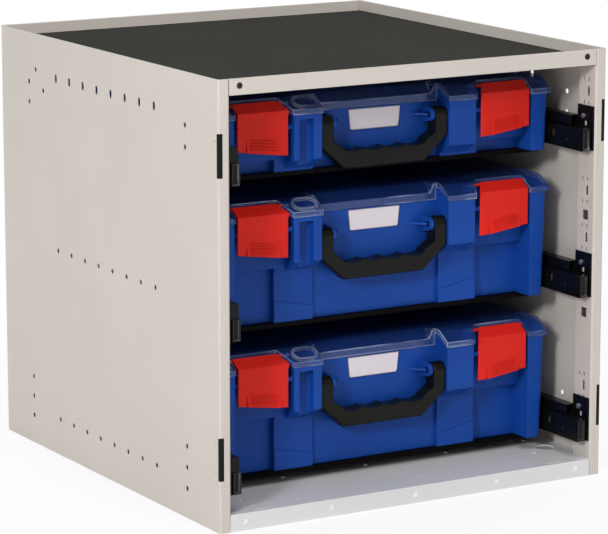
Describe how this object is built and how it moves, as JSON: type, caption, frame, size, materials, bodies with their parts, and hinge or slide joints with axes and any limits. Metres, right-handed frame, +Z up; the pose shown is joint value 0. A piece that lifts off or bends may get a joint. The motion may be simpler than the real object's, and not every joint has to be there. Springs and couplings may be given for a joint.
{
  "type": "case cabinet",
  "caption": "Open-fronted steel cabinet with a matted recessed top; lidded carrying cases with latches and bail handles pull out on telescopic slides.",
  "frame": {"origin": "middle of the cabinet's footprint, on the surface that it stands on", "axes": "+Z up, -Y towards the open front, +X to the right as seen from the front"},
  "size_m": [0.505, 0.54, 0.5],
  "materials": {
    "cabinet_paint": "satin powder coat",
    "mat_rubber": "grained matt",
    "slide_steel": "black coated",
    "zinc_steel": "zinc plated",
    "dark_steel": "black oxide",
    "cap_plastic": "moulded",
    "tub_plastic": "moulded satin",
    "clear_plastic": "clear",
    "latch_plastic": "moulded satin",
    "handle_plastic": "moulded",
    "label_card": "card"
  },
  "bodies": {
    "cabinet": {"left_side_panel": "cabinet_paint", "right_side_panel": "cabinet_paint", "back_panel": "cabinet_paint", "top_panel": "cabinet_paint", "bottom_panel": "cabinet_paint", "top_mat": "mat_rubber", "rail_screws": "dark_steel", "rail_nuts": "zinc_steel", "slide_screws": "zinc_steel", "slot_plugs": "cap_plastic", "slide_catches": "cap_plastic", "lower_left_fixed_rail": "slide_steel", "lower_right_fixed_rail": "slide_steel", "middle_left_fixed_rail": "slide_steel", "middle_right_fixed_rail": "slide_steel", "upper_left_fixed_rail": "slide_steel", "upper_right_fixed_rail": "slide_steel"},
    "lower_mid_rails": {"lower_left_mid_rail": "zinc_steel", "lower_right_mid_rail": "zinc_steel"},
    "lower_drawer": {"lower_carrier_tray": "slide_steel", "lower_tray_screws": "zinc_steel", "lower_left_drawer_rail": "slide_steel", "lower_right_drawer_rail": "slide_steel", "lower_rail_caps": "cap_plastic", "lower_tub": "tub_plastic", "lower_hinge_pins": "zinc_steel", "lower_label": "label_card"},
    "lower_lid": {"lower_lid": "clear_plastic"},
    "lower_left_latch": {"lower_left_latch": "latch_plastic"},
    "lower_right_latch": {"lower_right_latch": "latch_plastic"},
    "lower_handle": {"lower_handle": "handle_plastic"},
    "middle_mid_rails": {"middle_left_mid_rail": "zinc_steel", "middle_right_mid_rail": "zinc_steel"},
    "middle_drawer": {"middle_carrier_tray": "slide_steel", "middle_tray_screws": "zinc_steel", "middle_left_drawer_rail": "slide_steel", "middle_right_drawer_rail": "slide_steel", "middle_rail_caps": "cap_plastic", "middle_tub": "tub_plastic", "middle_hinge_pins": "zinc_steel", "middle_label": "label_card"},
    "middle_lid": {"middle_lid": "clear_plastic"},
    "middle_left_latch": {"middle_left_latch": "latch_plastic"},
    "middle_right_latch": {"middle_right_latch": "latch_plastic"},
    "middle_handle": {"middle_handle": "handle_plastic"},
    "upper_mid_rails": {"upper_left_mid_rail": "zinc_steel", "upper_right_mid_rail": "zinc_steel"},
    "upper_drawer": {"upper_carrier_tray": "slide_steel", "upper_tray_screws": "zinc_steel", "upper_left_drawer_rail": "slide_steel", "upper_right_drawer_rail": "slide_steel", "upper_rail_caps": "cap_plastic", "upper_tub": "tub_plastic", "upper_hinge_pins": "zinc_steel", "upper_label": "label_card"},
    "upper_lid": {"upper_lid": "clear_plastic"},
    "upper_left_latch": {"upper_left_latch": "latch_plastic"},
    "upper_right_latch": {"upper_right_latch": "latch_plastic"},
    "upper_handle": {"upper_handle": "handle_plastic"}
  },
  "joints": [
    {"name": "lower_slide", "type": "slide", "parent": "cabinet", "child": "lower_drawer", "axis": [0, -1, 0], "range_m": [0, 0.42]},
    {"name": "lower_mid_slide", "type": "slide", "parent": "cabinet", "child": "lower_mid_rails", "axis": [0, -1, 0], "range_m": [0, 0.21]},
    {"name": "lower_lid_hinge", "type": "hinge", "parent": "lower_drawer", "child": "lower_lid", "pos_m": [0, 0.168, 0.168], "axis": [-1, 0, 0], "range_deg": [0, 4]},
    {"name": "lower_left_latch_hinge", "type": "hinge", "parent": "lower_lid", "child": "lower_left_latch", "pos_m": [-0.16, -0.1885, 0.1694], "axis": [-1, 0, 0], "range_deg": [0, 90]},
    {"name": "lower_right_latch_hinge", "type": "hinge", "parent": "lower_lid", "child": "lower_right_latch", "pos_m": [0.16, -0.1885, 0.1694], "axis": [-1, 0, 0], "range_deg": [0, 90]},
    {"name": "lower_handle_hinge", "type": "hinge", "parent": "lower_drawer", "child": "lower_handle", "pos_m": [0, -0.1915, 0.1308], "axis": [-1, 0, 0], "range_deg": [0, 90]},
    {"name": "middle_slide", "type": "slide", "parent": "cabinet", "child": "middle_drawer", "axis": [0, -1, 0], "range_m": [0, 0.42]},
    {"name": "middle_mid_slide", "type": "slide", "parent": "cabinet", "child": "middle_mid_rails", "axis": [0, -1, 0], "range_m": [0, 0.21]},
    {"name": "middle_lid_hinge", "type": "hinge", "parent": "middle_drawer", "child": "middle_lid", "pos_m": [0, 0.168, 0.339], "axis": [-1, 0, 0], "range_deg": [0, 4]},
    {"name": "middle_left_latch_hinge", "type": "hinge", "parent": "middle_lid", "child": "middle_left_latch", "pos_m": [-0.16, -0.1885, 0.3404], "axis": [-1, 0, 0], "range_deg": [0, 90]},
    {"name": "middle_right_latch_hinge", "type": "hinge", "parent": "middle_lid", "child": "middle_right_latch", "pos_m": [0.16, -0.1885, 0.3404], "axis": [-1, 0, 0], "range_deg": [0, 90]},
    {"name": "middle_handle_hinge", "type": "hinge", "parent": "middle_drawer", "child": "middle_handle", "pos_m": [0, -0.1915, 0.3018], "axis": [-1, 0, 0], "range_deg": [0, 90]},
    {"name": "upper_slide", "type": "slide", "parent": "cabinet", "child": "upper_drawer", "axis": [0, -1, 0], "range_m": [0, 0.42]},
    {"name": "upper_mid_slide", "type": "slide", "parent": "cabinet", "child": "upper_mid_rails", "axis": [0, -1, 0], "range_m": [0, 0.21]},
    {"name": "upper_lid_hinge", "type": "hinge", "parent": "upper_drawer", "child": "upper_lid", "pos_m": [0, 0.168, 0.454], "axis": [-1, 0, 0], "range_deg": [0, 1.2]},
    {"name": "upper_left_latch_hinge", "type": "hinge", "parent": "upper_lid", "child": "upper_left_latch", "pos_m": [-0.16, -0.1885, 0.4554], "axis": [-1, 0, 0], "range_deg": [0, 90]},
    {"name": "upper_right_latch_hinge", "type": "hinge", "parent": "upper_lid", "child": "upper_right_latch", "pos_m": [0.16, -0.1885, 0.4554], "axis": [-1, 0, 0], "range_deg": [0, 90]},
    {"name": "upper_handle_hinge", "type": "hinge", "parent": "upper_drawer", "child": "upper_handle", "pos_m": [0, -0.1915, 0.4283], "axis": [-1, 0, 0], "range_deg": [0, 90]}
  ],
  "couplings": [
    {"joint": "lower_mid_slide", "follows": "lower_slide", "ratio": 0.5},
    {"joint": "middle_mid_slide", "follows": "middle_slide", "ratio": 0.5},
    {"joint": "upper_mid_slide", "follows": "upper_slide", "ratio": 0.5}
  ]
}
